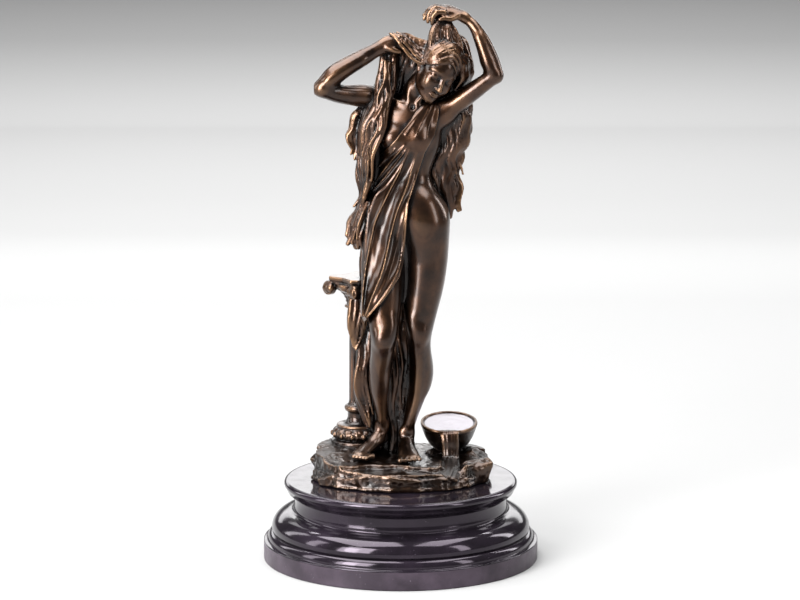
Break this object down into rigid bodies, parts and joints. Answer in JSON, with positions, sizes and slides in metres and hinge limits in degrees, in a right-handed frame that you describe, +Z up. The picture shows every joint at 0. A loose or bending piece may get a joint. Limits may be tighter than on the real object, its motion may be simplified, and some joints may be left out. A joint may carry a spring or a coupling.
{
  "type": "bronze nymph statue",
  "caption": "Cast bronze nymph lifting her wet hair beside a small column and a spring-fed basin, on rocky ground, standing on a round black marble plinth.",
  "frame": {"origin": "centre of the marble plinth's underside", "axes": "+Z up, the figure faces -Y, her left is towards +X"},
  "size_m": [0.22, 0.22, 0.4424],
  "materials": {
    "bronze": "dark brown patina over bronze, waxed and rubbed lighter on the high places",
    "marble": "black marble with a violet cast, turned and polished, the slab's side duller"
  },
  "bodies": {
    "root": {"marble_plinth": "marble", "bronze_nymph": "bronze"}
  },
  "joints": []
}
